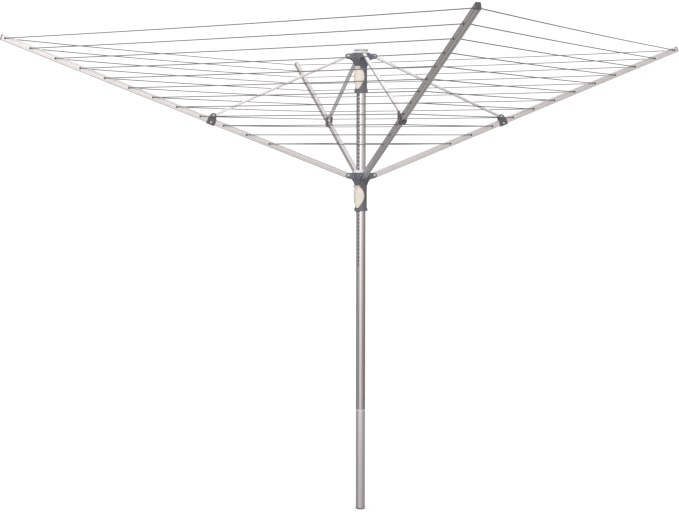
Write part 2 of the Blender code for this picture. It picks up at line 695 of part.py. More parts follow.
def line_route():
    """The corners of the whole line, from the innermost square out.

    Each square leaves arm_1 on its +Y side and comes back on its -Y side. It then runs outwards
    inside arm_1 to the next hole.
    """
    wall = ARM_WIDTH / 2
    route = []
    for number in reversed(range(LINE_HOLE_COUNT)):
        along = hole_place(number)
        first = arm_matrix(ARM_AZIMUTHS[0])
        route.append(first @ Vector((along, LINE_RUN_OFFSET, 0)))
        route.append(first @ Vector((along, wall, 0)))
        for azimuth in ARM_AZIMUTHS[1:]:
            frame = arm_matrix(azimuth)
            route.append(frame @ Vector((along, -wall, 0)))
            route.append(frame @ Vector((along, wall, 0)))
        route.append(first @ Vector((along, -wall, 0)))
        route.append(first @ Vector((along, -LINE_RUN_OFFSET, 0)))
    return route


def build_line():
    points = line_route()
    curve = bpy.data.curves.new("drying_line", "CURVE")
    curve.dimensions = "3D"
    curve.bevel_depth = LINE_RADIUS
    curve.bevel_resolution = 1
    curve.use_fill_caps = True
    spline = curve.splines.new("POLY")
    spline.points.add(len(points) - 1)
    for point, place in zip(spline.points, points):
        point.co = (*place, 1)
    line = bpy.data.objects.new("drying_line", curve)
    bpy.context.collection.objects.link(line)
    add_material(line, "line_cord")


def main():
    clear_scene()
    turning = build_mast()
    build_hub("upper", UPPER_PIVOT_Z, turning, "strut_top_pin")
    build_hub("lower", LOWER_PIVOT_Z, turning, "arm_pin")
    for number, azimuth in enumerate(ARM_AZIMUTHS, 1):
        build_arm(number, azimuth)
        build_strut(number, azimuth)
    build_line()
    bpy.context.view_layer.update()


main()
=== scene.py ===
"""Looks of the rotary clothesline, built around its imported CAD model.

Lengths are in metres. An arm's own frame has its pivot as origin, x outwards along the arm, y across
it and z up from it. A hub's own frame has z = 0 at its clevis pins.
"""

import math

import bmesh
import bpy
from mathutils import Matrix, Vector


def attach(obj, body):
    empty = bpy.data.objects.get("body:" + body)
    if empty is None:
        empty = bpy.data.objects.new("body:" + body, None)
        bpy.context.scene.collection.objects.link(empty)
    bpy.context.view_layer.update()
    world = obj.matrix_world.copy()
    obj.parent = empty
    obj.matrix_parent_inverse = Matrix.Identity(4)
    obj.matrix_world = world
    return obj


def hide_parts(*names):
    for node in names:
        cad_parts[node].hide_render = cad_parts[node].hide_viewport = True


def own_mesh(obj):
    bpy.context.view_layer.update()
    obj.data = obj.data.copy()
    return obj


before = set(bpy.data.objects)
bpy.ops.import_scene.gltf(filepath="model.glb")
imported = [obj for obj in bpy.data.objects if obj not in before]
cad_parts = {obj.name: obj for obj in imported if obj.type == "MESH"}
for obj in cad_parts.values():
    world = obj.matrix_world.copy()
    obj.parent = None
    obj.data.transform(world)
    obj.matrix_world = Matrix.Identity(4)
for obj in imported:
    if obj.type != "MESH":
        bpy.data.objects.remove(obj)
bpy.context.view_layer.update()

MM = 0.001
GAP = 0.3 * MM

# Canopy
ARM_AZIMUTHS = (0, 90, 180, 270)  # degrees, of arms 1 to 4
ARM_ELEVATION = math.radians(21.6)
LINE_HOLE_COUNT = 12
OUTER_HOLE_RADIUS = 1.164
HOLE_RADIAL_PITCH = 76.88 * MM
PIVOT_RADIUS = 46 * MM
LOWER_PIVOT_Z = 1.175
HUB_SPACING = 0.404
UPPER_PIVOT_Z = LOWER_PIVOT_Z + HUB_SPACING
STRUT_REACH = 0.459

# Mast
MAST_RADIUS = 15.875 * MM
MAST_WALL = 1.4 * MM
MAST_TOP = 1.598
JOINT_Z = 0.355
RING_HEIGHT = 3.4 * MM
FOOT_FLANGE = 3 * MM
ROUND = 96  # segments of a large turned piece
SPINDLE_RADIUS = 12.1 * MM

# Rack
RACK_AZIMUTH = 225
GROOVE_HALF_WIDTH = 3.6 * MM
GROOVE_FLOOR = 14.9 * MM
GROOVE_WALL = 1.2 * MM
RACK_PITCH = 13.2 * MM
RACK_HOLE_WIDTH = 4.6 * MM
RACK_HOLE_HEIGHT = 7.2 * MM
RACK_BOTTOM = 0.867
RACK_HOLE_COUNT = 51

# Hub
HUB_BORE = 16.6 * MM
HUB_BODY_RADIUS = 20.5 * MM
HUB_DRUM_RADIUS = 28.5 * MM
HUB_PLATE_RADIUS = 31 * MM
HUB_COLLAR_RADIUS = 23 * MM
HUB_BOTTOM = -122 * MM
HUB_COLLAR_TOP = -113 * MM
HUB_NECK = -38 * MM
HUB_DRUM_BOTTOM = -12 * MM
HUB_DRUM_TOP = 9 * MM
HUB_PLATE_TOP = 12 * MM
HUB_CONE_RADIUS = 27 * MM
HUB_CONE_TOP_RADIUS = 21.5 * MM
HUB_TOP = 18.7 * MM
EAR_INSIDE = 7.8 * MM
EAR_THICKNESS = 3.2 * MM
EAR_ROUND = 8.5 * MM
KEY_HALF_WIDTH = 2.7 * MM
KEY_TIP = 15.3 * MM
PIN_RADIUS = 2.5 * MM
PIN_HOLE_RADIUS = 3.1 * MM
PIN_ROUND = 32  # segments of pins and small holes

# Lock lever
LEVER_PIN_Z = -37.5 * MM
LEVER_PIN_AT = 24.2 * MM
LEVER_PIN_RADIUS = 1.5 * MM
LEVER_HOLE_RADIUS = 1.9 * MM
KNUCKLE_RADIUS = 3.2 * MM
KNUCKLE_HALF = 11 * MM
LEVER_WEB_OUTSIDE = 23.4 * MM  # where the knuckle runs into the shell
LUG_INSIDE = 11.4 * MM
LUG_OUTSIDE = 13.8 * MM
LUG_ROOT = 13 * MM
LUG_ROUND = 3.4 * MM
LEVER_TOP = -41.5 * MM
LEVER_BOTTOM = -112 * MM
LEVER_INNER_RADIUS = 21.0 * MM
LEVER_EDGE_THICKNESS = 3.2 * MM
LEVER_CROWN = 2.8 * MM
LEVER_OUTLINE = (
    (0.0, 33),
    (0.07, 42),
    (0.18, 52),
    (0.34, 60),
    (0.52, 58),
    (0.68, 46),
    (0.84, 29),
    (0.95, 15),
    (1.0, 6),
)
DIMPLE_SIDE = -6.5 * MM  # across the lever from its middle
DIMPLE_DROP = 10 * MM  # from the lever's top
DIMPLE_RADIUS = 4.0 * MM
DIMPLE_DEPTH = 2.2 * MM
BEAD_INSET = 2.4 * MM  # of the fine bead along the lever's rim
BEAD_WIDTH = 0.7 * MM
BEAD_HEIGHT = 0.45 * MM
PAWL_Z = -60 * MM
PAWL_ROOM = 3.5 * MM

# Arm and its fittings
ARM_WIDTH = 15 * MM
ARM_HEIGHT = 20 * MM
ARM_WALL = 1.3 * MM
ARM_INNER_END = -12 * MM
ARM_PAST_HOLE = 10.5 * MM
CAP_LENGTH = 2.8 * MM
LINE_HOLE_RADIUS = 2.7 * MM
BRACKET_LENGTH = 28 * MM
BRACKET_CHEEK = 3 * MM
BRACKET_EYE_RADIUS = 8.5 * MM
BRACKET_SHOULDER = 6 * MM
RIVET_RADIUS = 2.0 * MM
RIVET_HOLE_RADIUS = 2.6 * MM
RIVET_Z = -5.5 * MM
STRUT_WIDTH = 12 * MM
STRUT_THICKNESS = 8.5 * MM
STRUT_EYE_RADIUS = 6.5 * MM

# Line
LINE_RADIUS = 1.5 * MM
LINE_RUN_OFFSET = 1.9 * MM
LINE_BANDS = 6  # pairs of neighbouring squares made as one piece
OUTER_SAG = 3 * MM

ARM_COS = math.cos(ARM_ELEVATION)
ARM_SIN = math.sin(ARM_ELEVATION)
STRUT_DROP = HUB_SPACING / 2
STRUT_LENGTH = math.hypot(STRUT_REACH, STRUT_DROP)
STRUT_ANGLE = math.atan2(STRUT_DROP, STRUT_REACH)
BRACKET_PIVOT_X = STRUT_REACH * ARM_COS + STRUT_DROP * ARM_SIN
BRACKET_PIVOT_Z = STRUT_DROP * ARM_COS - STRUT_REACH * ARM_SIN


# Studio
FLOOR_RADIUS = 9.0
FLOOR_DROP = 0.5 * MM  # below the mast's foot
CAMERA_PLACE = (-0.9615, -3.8817, 1.3093)
CAMERA_TILT = 0.1038  # radians below the horizon
CAMERA_HEADING = -0.22441  # radians from +Y
CAMERA_LENS = 61.59
LIGHT_TARGET = (0, 0, 1.2)


# Meshes


def finished(name, bm, sharp=32):
    """Turns a bmesh into a smooth-shaded mesh whose edges above an angle stay sharp."""
    bmesh.ops.recalc_face_normals(bm, faces=bm.faces)
    mesh = bpy.data.meshes.new(name)
    bm.to_mesh(mesh)
    bm.free()
    mesh.shade_smooth()
    mesh.set_sharp_from_angle(angle=math.radians(sharp))
    return mesh


def arc(centre, radius, start, end, steps):
    """Points from one angle to another, in degrees."""
    angles = [math.radians(start + (end - start) * i / steps) for i in range(steps + 1)]
    return [(centre[0] + radius * math.cos(a), centre[1] + radius * math.sin(a)) for a in angles]


def rounded(points, radius=0.0, steps=4):
    """A closed outline with its corners made into arcs. A point's third number is its own radius."""
    result = []
    for i, point in enumerate(points):
        here = Vector(point[:2])
        size = point[2] if len(point) > 2 else radius
        before = Vector(points[i - 1][:2]) - here
        after = Vector(points[(i + 1) % len(points)][:2]) - here
        angle = before.angle(after)
        if size <= 0 or angle > math.radians(172):
            result.append(tuple(here))
            continue
        reach = size / math.tan(angle / 2)
        reach = min(reach, 0.47 * before.length, 0.47 * after.length)
        size = reach * math.tan(angle / 2)
        middle = (before.normalized() + after.normalized()).normalized()
        centre = here + middle * (size / math.sin(angle / 2))
        start = here + before.normalized() * reach - centre
        end = here + after.normalized() * reach - centre
        first = math.atan2(start.y, start.x)
        sweep = (math.atan2(end.y, end.x) - first + math.pi) % (2 * math.pi) - math.pi
        for k in range(steps + 1):
            a = first + sweep * k / steps
            result.append((centre.x + size * math.cos(a), centre.y + size * math.sin(a)))
    return result


def open_circle(radius, half_gap):
    """A circle's points from one side to the other of a gap on +X, whose half angle is in radians."""
    step = 2 * math.pi / ROUND
    end = 2 * math.pi - half_gap
    angles = [step * i for i in range(ROUND)]
    angles = [a for a in angles if half_gap + step / 3 < a < end - step / 3]
    return [(radius * math.cos(a), radius * math.sin(a)) for a in [half_gap, *angles, end]]


ALONG_Z = Matrix(((1, 0, 0, 0), (0, 0, 1, 0), (0, 1, 0, 0), (0, 0, 0, 1)))
ALONG_X = Matrix(((0, 1, 0, 0), (1, 0, 0, 0), (0, 0, 1, 0), (0, 0, 0, 1)))


def prism(outline, low, high, matrix=None, bevel=0.0):
    """An outline in x and z, extruded along y, with its two rims rounded."""
    bm = bmesh.new()
    near = [bm.verts.new((x, low, z)) for x, z in outline]
    far = [bm.verts.new((x, high, z)) for x, z in outline]
    ends = [bm.faces.new(near), bm.faces.new(far)]
    for i in range(len(outline)):
        j = (i + 1) % len(outline)
        bm.faces.new((near[i], near[j], far[j], far[i]))
    bmesh.ops.recalc_face_normals(bm, faces=bm.faces)
    if bevel:
        rims = [edge for face in ends for edge in face.edges]
        bmesh.ops.bevel(
            bm, geom=rims, offset=bevel, segments=3, profile=0.5, affect="EDGES", clamp_overlap=False
        )
    if matrix:
        bmesh.ops.transform(bm, matrix=matrix, verts=bm.verts)
    return finished("prism", bm)


def turned(profile, segments, matrix=None):
    """A closed outline of radius and height, turned about z. Points on the axis make a pole."""
    bm = bmesh.new()
    rings = []
    turn = 2 * math.pi / segments
    for radius, height in profile:
        if radius < 1e-7:
            rings.append([bm.verts.new((0, 0, height))] * segments)
            continue
        angles = [turn * (i + 0.5) for i in range(segments)]
        rings.append([bm.verts.new((radius * math.cos(a), radius * math.sin(a), height)) for a in angles])
    for first, second in zip(rings, rings[1:] + rings[:1]):
        for i in range(segments):
            j = (i + 1) % segments
            corners = [first[i], first[j], second[j], second[i]]
            corners = [v for n, v in enumerate(corners) if v not in corners[:n]]
            if len(corners) > 2:
                bm.faces.new(corners)
    if matrix:
        bmesh.ops.transform(bm, matrix=matrix, verts=bm.verts)
    return finished("turned", bm)


def rod(radius, low, high, segments, matrix=None):
    return turned(((0, low), (radius, low), (radius, high), (0, high)), segments, matrix)


def cross_rod(radius, half_length, x, z, segments=PIN_ROUND):
    """A rod along y, through (x, z)."""
    place = Matrix.Translation((x, 0, z)) @ Matrix.Rotation(math.pi / 2, 4, "X")
    return rod(radius, -half_length, half_length, segments, place)


def joined(meshes):
    """Separate solids in one mesh."""
    bm = bmesh.new()
    for mesh in meshes:
        bm.from_mesh(mesh)
    result = bpy.data.meshes.new("joined")
    bm.to_mesh(result)
    bm.free()
    result.shade_smooth()
    result.set_sharp_from_angle(angle=math.radians(32))
    return result


def combine(meshes, operation):
    """Unites the meshes, or cuts the others from the first one, with exact Booleans."""
    objects = [bpy.data.objects.new("operand", mesh) for mesh in meshes]
    for obj in objects:
        bpy.context.scene.collection.objects.link(obj)
    for other in objects[1:]:
        step = objects[0].modifiers.new("step", "BOOLEAN")
        step.operation = operation
        step.solver = "EXACT"
        step.object = other
    bpy.context.view_layer.update()
    evaluated = objects[0].evaluated_get(bpy.context.evaluated_depsgraph_get())
    result = bpy.data.meshes.new_from_object(evaluated)
    for obj in objects:
        bpy.data.objects.remove(obj, do_unlink=True)
    result.materials.clear()
    result.shade_smooth()
    result.set_sharp_from_angle(angle=math.radians(32))
    return result


def about_mast(degrees):
    return Matrix.Rotation(math.radians(degrees), 4, "Z")


def moved(mesh, matrix):
    mesh.transform(matrix)
    return mesh


def add(name, mesh, finish, body, replaces=(), place=None):
    """A visible piece: its material, the body it moves with, and the CAD nodes it stands for.

    Metal keeps a frame of its own, for the lines drawn along it. Other pieces' frame is the world's.
    """
    obj = bpy.data.objects.new(name, mesh)
    bpy.context.scene.collection.objects.link(obj)
    if place and finish in ("arm_aluminium", "strut_aluminium"):
        obj.matrix_world = place
    elif place:
        mesh.transform(place)
    mesh.materials.clear()
    mesh.materials.append(MATERIALS[finish])
    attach(obj, body)
    if replaces:
        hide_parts(*replaces)
    return obj


# Materials


def new_material(name, colour, roughness, metallic=0.0):
    material = bpy.data.materials.new(name)
    material.use_nodes = True
    tree = material.node_tree
    shader = tree.nodes["Principled BSDF"]
    shader.inputs["Base Color"].default_value = (*colour, 1)
    shader.inputs["Roughness"].default_value = roughness
    shader.inputs["Metallic"].default_value = metallic
    return material, tree, shader


def noise(tree, stretch, scale=1.0, detail=2.0):
    """Noise in the piece's own frame. The stretch is in features a metre along x, y and z."""
    place = tree.nodes.new("ShaderNodeTexCoord")
    mapping = tree.nodes.new("ShaderNodeMapping")
    mapping.inputs["Scale"].default_value = stretch
    texture = tree.nodes.new("ShaderNodeTexNoise")
    texture.inputs["Scale"].default_value = scale
    texture.inputs["Detail"].default_value = detail
    tree.links.new(place.outputs["Object"], mapping.inputs["Vector"])
    tree.links.new(mapping.outputs["Vector"], texture.inputs["Vector"])
    return texture.outputs["Fac"]


def ranged(tree, value, low, high, start=0.3, end=0.7):
    """A number that goes from low to high as the value goes from start to end."""
    step = tree.nodes.new("ShaderNodeMapRange")
    step.inputs["From Min"].default_value = start
    step.inputs["From Max"].default_value = end
    step.inputs["To Min"].default_value = low
    step.inputs["To Max"].default_value = high
    tree.links.new(value, step.inputs["Value"])
    return step.outputs["Result"]


def blended(tree, factor, first, second):
    """A colour between two others."""
    mix = tree.nodes.new("ShaderNodeMix")
    mix.data_type = "RGBA"
    tree.links.new(factor, mix.inputs["Factor"])
    for socket, colour in ((mix.inputs["A"], first), (mix.inputs["B"], second)):
        if isinstance(colour, tuple):
            socket.default_value = (*colour, 1)
        else:
            tree.links.new(colour, socket)
    return mix.outputs["Result"]


def add_bump(tree, shader, heights):
    """Bumps on top of each other: pairs of a height and its depth in metres."""
    normal = None
    for height, depth in heights:
        bump = tree.nodes.new("ShaderNodeBump")
        bump.inputs["Strength"].default_value = 1.0
        bump.inputs["Distance"].default_value = depth
        tree.links.new(height, bump.inputs["Height"])
        if normal:
            tree.links.new(normal, bump.inputs["Normal"])
        normal = bump.outputs["Normal"]
    tree.links.new(normal, shader.inputs["Normal"])


def shade(colour, amount):
    return tuple(min(1.0, channel * amount) for channel in colour)


def aluminium(name, colour, roughness, lengthwise, metallic=1.0):
    """Drawn or extruded metal: fine lines along its length, and faint cloudy patches."""
    material, tree, shader = new_material(name, colour, roughness, metallic)
    lines = noise(tree, tuple(6 if lengthwise == axis else 1500 for axis in "xyz"), 1.0, 3.0)
    coarse = noise(tree, tuple(2 if lengthwise == axis else 300 for axis in "xyz"), 1.0, 2.0)
    patches = noise(tree, (22, 22, 22), 1.0, 4.0)
    tone = blended(tree, ranged(tree, coarse, 0, 1), shade(colour, 0.94), shade(colour, 1.04))
    worn = ranged(tree, patches, 0, 0.35, 0.55, 0.75)
    tone = blended(tree, worn, tone, shade(colour, 0.86))
    tree.links.new(tone, shader.inputs["Base Color"])
    matt = ranged(tree, lines, roughness - 0.05, roughness + 0.06)
    tree.links.new(matt, shader.inputs["Roughness"])
    add_bump(tree, shader, ((lines, 0.012 * MM), (coarse, 0.01 * MM)))
    return material


def moulded(name, colour, roughness, grain=0.03 * MM, warmth=(1.0, 1.0, 1.0)):
    """Injection-moulded plastic: a fine spark-eroded grain, slight flow marks, and scattered lighter scuffs.
    """
    material, tree, shader = new_material(name, colour, roughness)
    fine = noise(tree, (1100, 1100, 1100), 1.0, 2.0)
    flow = noise(tree, (26, 26, 60), 1.0, 3.0)
    scuffs = noise(tree, (160, 160, 60), 1.0, 5.0)
    lighter = tuple(min(1.0, c * 1.10 * w) for c, w in zip(colour, warmth))
    tone = blended(tree, ranged(tree, flow, 0, 1), shade(colour, 0.92), lighter)
    scuffed = ranged(tree, scuffs, 0, 0.5, 0.62, 0.8)
    tone = blended(tree, scuffed, tone, tuple(c + 0.05 * (1 - c) for c in lighter))
    tree.links.new(tone, shader.inputs["Base Color"])
    matt = ranged(tree, fine, roughness - 0.06, roughness + 0.08)
    tree.links.new(matt, shader.inputs["Roughness"])
    add_bump(tree, shader, ((fine, grain), (flow, 0.05 * MM)))
    return material


def plated(name, colour, roughness):
    """Bright zinc plate on small steel pieces."""
    material, tree, shader = new_material(name, colour, roughness, 1.0)
    clouds = noise(tree, (400, 400, 400), 1.0, 4.0)
    tone = blended(tree, ranged(tree, clouds, 0, 1), shade(colour, 0.85), shade(colour, 1.1))
    tree.links.new(tone, shader.inputs["Base Color"])
    matt = ranged(tree, clouds, roughness - 0.06, roughness + 0.1)
    tree.links.new(matt, shader.inputs["Roughness"])
    add_bump(tree, shader, ((clouds, 0.02 * MM),))
    return material


def sheathed(name, colour, roughness):
    """A plastic sheath drawn over a laid core, whose strands show faintly as a long twist."""
    material, tree, shader = new_material(name, colour, roughness)
    place = tree.nodes.new("ShaderNodeAttribute")
    place.attribute_name = "sheath"
    parts = tree.nodes.new("ShaderNodeSeparateXYZ")
    tree.links.new(place.outputs["Vector"], parts.inputs["Vector"])

    def math_node(operation, first, second=None):
        step = tree.nodes.new("ShaderNodeMath")
        step.operation = operation
        for socket, value in zip(step.inputs, (first, second)):
            if isinstance(value, (int, float)):
                socket.default_value = value
            elif value is not None:
                tree.links.new(value, socket)
        return step.outputs["Value"]

    around = math_node("ARCTAN2", parts.outputs["Y"], parts.outputs["X"])
    along = math_node("MULTIPLY", parts.outputs["Z"], 2 * math.pi / (9 * MM))
    strands = math_node("SINE", math_node("ADD", math_node("MULTIPLY", around, 3), along))
    twist = ranged(tree, strands, 0, 1, -1, 1)
    dust = noise(tree, (900, 900, 900), 1.0, 3.0)
    tone = blended(tree, twist, shade(colour, 0.85), shade(colour, 1.15))
    tone = blended(tree, ranged(tree, dust, 0, 0.4, 0.5, 0.75), tone, shade(colour, 1.5))
    tree.links.new(tone, shader.inputs["Base Color"])
    tree.links.new(ranged(tree, dust, roughness - 0.08, roughness + 0.1), shader.inputs["Roughness"])
    add_bump(tree, shader, ((twist, 0.12 * MM), (dust, 0.02 * MM)))
    return material


def build_materials():
    lever = moulded("lever_plastic", (0.89, 0.84, 0.75), 0.36, 0.015 * MM, (1.0, 0.99, 0.97))
    return {
        "aluminium_tube": aluminium("aluminium_tube", (0.76, 0.735, 0.735), 0.25, "z"),
        "matt_tube": aluminium("matt_tube", (0.62, 0.60, 0.605), 0.42, "z", 0.6),
        "arm_aluminium": aluminium("arm_aluminium", (0.74, 0.72, 0.715), 0.34, "x"),
        "strut_aluminium": aluminium("strut_aluminium", (0.85, 0.84, 0.835), 0.3, "x"),
        "hub_plastic": moulded("hub_plastic", (0.155, 0.159, 0.182), 0.27),
        "lever_plastic": lever,
        # The top cap's own pale grey plastic; on the hub collars the same pale colour is a painted
        # highlight.
        "cap_plastic": moulded("cap_plastic", (0.68, 0.67, 0.69), 0.38),
        "bracket_plastic": moulded("bracket_plastic", (0.12, 0.115, 0.13), 0.38),
        "end_cap_plastic": moulded("end_cap_plastic", (0.085, 0.085, 0.095), 0.5),
        "bush_plastic": moulded("bush_plastic", (0.78, 0.78, 0.77), 0.45, 0.02 * MM),
        "pin_steel": plated("pin_steel", (0.78, 0.78, 0.78), 0.28),
        "line_cord": sheathed("line_cord", (0.17, 0.17, 0.18), 0.5),
    }


MATERIALS = build_materials()


# Mast


def groove_outlines():
    """The upper tube's outside, with its groove on +X, and its inside, flat behind the groove."""
    inner_radius = MAST_RADIUS - MAST_WALL
    outside = open_circle(MAST_RADIUS, math.asin(GROOVE_HALF_WIDTH / MAST_RADIUS))
    outside += [(GROOVE_FLOOR, -GROOVE_HALF_WIDTH), (GROOVE_FLOOR, GROOVE_HALF_WIDTH)]
    inside = open_circle(inner_radius, math.acos((GROOVE_FLOOR - GROOVE_WALL) / inner_radius))
    return rounded(outside, 0.5 * MM, 3), inside


def upper_tube():
    outside, inside = groove_outlines()
    bottom = JOINT_Z + RING_HEIGHT / 2 + GAP
    tube = prism(outside, bottom, MAST_TOP, ALONG_Z)
    hollow = prism(inside, bottom - 1 * MM, MAST_TOP + 1 * MM, ALONG_Z)
    half_width, half_height = RACK_HOLE_WIDTH / 2, RACK_HOLE_HEIGHT / 2
    corners = ((-1, -1), (1, -1), (1, 1), (-1, 1))
    hole = rounded([(half_width * y, half_height * z) for y, z in corners], 1.2 * MM, 4)
    holes = []
    for i in range(RACK_HOLE_COUNT):
        up = Matrix.Translation((0, 0, RACK_BOTTOM + i * RACK_PITCH))
        holes.append(prism(hole, GROOVE_FLOOR - 3 * MM, GROOVE_FLOOR + 2 * MM, up @ ALONG_X))
    return combine([tube, hollow, joined(holes)], "DIFFERENCE")


def build_mast():
    inner = MAST_RADIUS - MAST_WALL
    ring_low, ring_high = JOINT_Z - RING_HEIGHT / 2, JOINT_Z + RING_HEIGHT / 2
    tube = (
        (MAST_RADIUS, ring_low - GAP, 0.3 * MM),
        (MAST_RADIUS, FOOT_FLANGE + GAP, 0.3 * MM),
        (inner, FOOT_FLANGE + GAP),
        (inner, ring_low - GAP),
    )
    add("lower_tube", turned(rounded(tube), ROUND), "matt_tube", "lower_mast", ["lower_mast"])

    plug = (
        (0, 0),
        (MAST_RADIUS, 0, 1.0 * MM),
        (MAST_RADIUS, FOOT_FLANGE, 0.4 * MM),
        (inner - GAP, FOOT_FLANGE),
        (inner - GAP, 25 * MM, 0.5 * MM),
        (inner - 2.3 * MM, 25 * MM, 0.5 * MM),
        (inner - 2.3 * MM, 5 * MM),
        (0, 5 * MM),
    )
    add("foot_plug", turned(rounded(plug), ROUND), "end_cap_plastic", "lower_mast", ["mast_foot_plug"])

    bush = (
        (SPINDLE_RADIUS + GAP, JOINT_Z - 110 * MM),
        (inner - GAP, JOINT_Z - 110 * MM),
        (inner - GAP, ring_low),
        (MAST_RADIUS + 0.4 * MM, ring_low, 0.5 * MM),
        (MAST_RADIUS + 0.4 * MM, ring_high, 0.5 * MM),
        (SPINDLE_RADIUS + GAP, ring_high),
    )
    add("joint_ring", turned(rounded(bush), ROUND), "bush_plastic", "lower_mast", ["mast_joint_bush"])

    facing = about_mast(RACK_AZIMUTH)
    add("upper_tube", moved(upper_tube(), facing), "aluminium_tube", "upper_mast", ["upper_mast"])

    radius, bottom = 24.5 * MM, MAST_TOP + GAP
    spigot = GROOVE_FLOOR - GROOVE_WALL - GAP
    cap = (
        (0, bottom + 6 * MM),
        (radius - 6 * MM, bottom + 5.8 * MM, 12 * MM),
        (radius - 1 * MM, bottom + 4.6 * MM, 2 * MM),
        (radius, bottom + 2.8 * MM, 1 * MM),
        (radius, bottom + 2.0 * MM, 0.15 * MM),
        (radius - 0.6 * MM, bottom + 1.8 * MM, 0.15 * MM),
        (radius - 0.6 * MM, bottom + 1.4 * MM, 0.15 * MM),
        (radius, bottom + 1.2 * MM, 0.15 * MM),
        (radius, bottom, 0.4 * MM),
        (spigot, bottom),
        (spigot, MAST_TOP - 18 * MM, 0.5 * MM),
        (spigot - 2 * MM, MAST_TOP - 18 * MM, 0.5 * MM),
        (spigot - 2 * MM, bottom),
        (0, bottom),
    )
    add("top_cap", turned(rounded(cap), ROUND), "cap_plastic", "upper_mast", ["mast_top_cap"])


# Hubs


def ear_plate(side):
    """One plate with an ear on either side of the mast. A pair of plates makes two clevises."""
    half = arc((PIVOT_RADIUS, 0), EAR_ROUND, 90, -80, 18)
    gusset = [(37 * MM, -10.5 * MM), (29 * MM, -15.5 * MM), (24 * MM, -23 * MM), (20 * MM, -34 * MM)]
    right = [(30 * MM, EAR_ROUND)] + half + gusset
    outline = right + [(-x, z) for x, z in reversed(right)]
    low = EAR_INSIDE if side > 0 else -EAR_INSIDE - EAR_THICKNESS
    return prism(outline, low, low + EAR_THICKNESS, None, 0.6 * MM)


def hub_bore():
    """What the hub leaves free: the mast's round, less the key that runs in its groove."""
    bore = open_circle(HUB_BORE, math.asin(KEY_HALF_WIDTH / HUB_BORE))
    bore += [(KEY_TIP, -KEY_HALF_WIDTH), (KEY_TIP, KEY_HALF_WIDTH)]
    return prism(bore, HUB_BOTTOM - 8 * MM, HUB_TOP + 2 * MM, about_mast(RACK_AZIMUTH) @ ALONG_Z)


def collar_shape():
    """The plate on top of a hub, which rises to a cone around the mast. Its pale colour is a painted
    highlight: the top of the dark hub, drawn as lit from above.
    """
    cone = (
        (0, HUB_DRUM_TOP + 0.05 * MM),
        (HUB_PLATE_RADIUS, HUB_DRUM_TOP + 0.05 * MM, 0.8 * MM),
        (HUB_PLATE_RADIUS, HUB_PLATE_TOP, 1.2 * MM),
        (HUB_CONE_RADIUS, HUB_PLATE_TOP, 0.8 * MM),
        (HUB_CONE_TOP_RADIUS, HUB_TOP - 0.6 * MM, 0.8 * MM),
        (HUB_CONE_TOP_RADIUS - 1 * MM, HUB_TOP, 0.5 * MM),
        (0, HUB_TOP),
    )
    return combine([turned(rounded(cone, 0, 4), ROUND), hub_bore()], "DIFFERENCE")


def hub_shape():
    body = (
        (0, HUB_BOTTOM),
        (HUB_COLLAR_RADIUS, HUB_BOTTOM, 1.2 * MM),
        (HUB_COLLAR_RADIUS, HUB_COLLAR_TOP, 1.2 * MM),
        (HUB_BODY_RADIUS, HUB_COLLAR_TOP, 0.8 * MM),
        (HUB_BODY_RADIUS, HUB_NECK, 8 * MM),
        (HUB_BODY_RADIUS + 1.5 * MM, HUB_NECK + 11 * MM, 8 * MM),
        (HUB_BODY_RADIUS + 5 * MM, HUB_NECK + 20 * MM, 8 * MM),
        (HUB_DRUM_RADIUS, HUB_DRUM_BOTTOM, 3 * MM),
        (HUB_DRUM_RADIUS, HUB_DRUM_TOP, 0.4 * MM),
        (0, HUB_DRUM_TOP),
    )
    parts = [turned(rounded(body, 0, 5), ROUND)]
    for azimuth in (0, 90):
        for side in (-1, 1):
            parts.append(moved(ear_plate(side), about_mast(azimuth)))
    facing = about_mast(RACK_AZIMUTH)
    lug = arc((LEVER_PIN_AT, LEVER_PIN_Z), LUG_ROUND, -90, 90, 16)
    lug += [(LUG_ROOT, LEVER_PIN_Z + 6 * MM), (LUG_ROOT, LEVER_PIN_Z - LUG_ROUND)]
    parts.append(prism(lug, LUG_INSIDE, LUG_OUTSIDE, facing, 0.5 * MM))
    parts.append(prism(lug, -LUG_OUTSIDE, -LUG_INSIDE, facing, 0.5 * MM))
    tab = ((17 * MM, -126 * MM), (26.5 * MM, -126 * MM), (26.5 * MM, -114.5 * MM), (17 * MM, -114.5 * MM))
    parts.append(prism(rounded(tab, 1.6 * MM), -6 * MM, 6 * MM, facing, 1.2 * MM))
    rib = ((27 * MM, -13 * MM), (30.2 * MM, -11 * MM), (30.2 * MM, 8.2 * MM), (27 * MM, 8.2 * MM))
    for azimuth in (45, 135, 225, 315):
        parts.append(prism(rounded(rib, 0.6 * MM), -1.4 * MM, 1.4 * MM, about_mast(azimuth), 0.5 * MM))
    solid = combine(parts, "UNION")

    cuts = [hub_bore()]
    low, high = PAWL_Z - PAWL_ROOM, PAWL_Z + PAWL_ROOM
    window = ((12 * MM, low), (24 * MM, low), (24 * MM, high), (12 * MM, high))
    cuts.append(prism(window, -PAWL_ROOM, PAWL_ROOM, facing))
    holes = [moved(cross_rod(LEVER_HOLE_RADIUS, LUG_OUTSIDE + 2 * MM, LEVER_PIN_AT, LEVER_PIN_Z), facing)]
    for azimuth in ARM_AZIMUTHS:
        holes.append(moved(cross_rod(PIN_HOLE_RADIUS, 14 * MM, PIVOT_RADIUS, 0), about_mast(azimuth)))
    return combine([solid, *cuts, joined(holes)], "DIFFERENCE")


